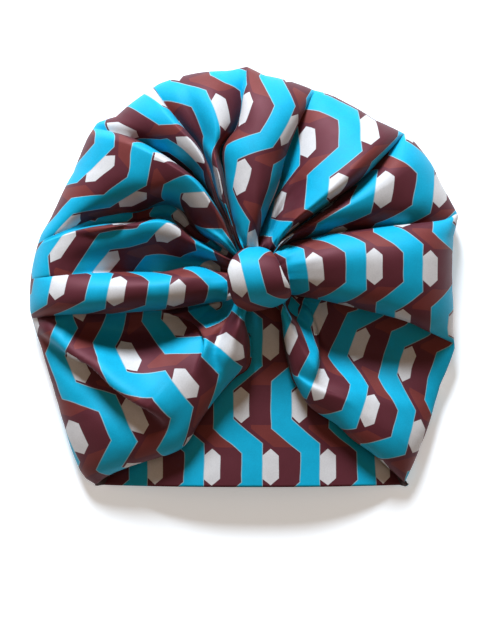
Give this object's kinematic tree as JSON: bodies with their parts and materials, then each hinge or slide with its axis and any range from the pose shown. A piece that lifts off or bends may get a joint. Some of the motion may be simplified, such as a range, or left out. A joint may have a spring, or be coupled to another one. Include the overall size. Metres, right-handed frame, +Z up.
{
  "type": "turban hat",
  "caption": "Ready-tied turban hat in printed satin: gathered puffs fan out from a front knot over a flat front panel; lies on its back with the head opening at the rim.",
  "frame": {"origin": "on the ground under the middle of the hat's box, as it lies on its back", "axes": "+Z up out of the front, through the knot; +Y towards the top of the hat; +X to the right as seen from the front"},
  "size_m": [0.3644, 0.356, 0.0824],
  "materials": {
    "crown_cloth": "printed satin, brown, turquoise, rust and cream",
    "back_cloth": "printed satin, brown, turquoise, rust and cream",
    "panel_cloth": "printed satin, brown, turquoise, rust and cream",
    "knot_cloth": "printed satin, brown, turquoise, rust and cream"
  },
  "bodies": {
    "root": {"crown": "crown_cloth", "back": "back_cloth", "front_panel": "panel_cloth", "knot": "knot_cloth"}
  },
  "joints": []
}
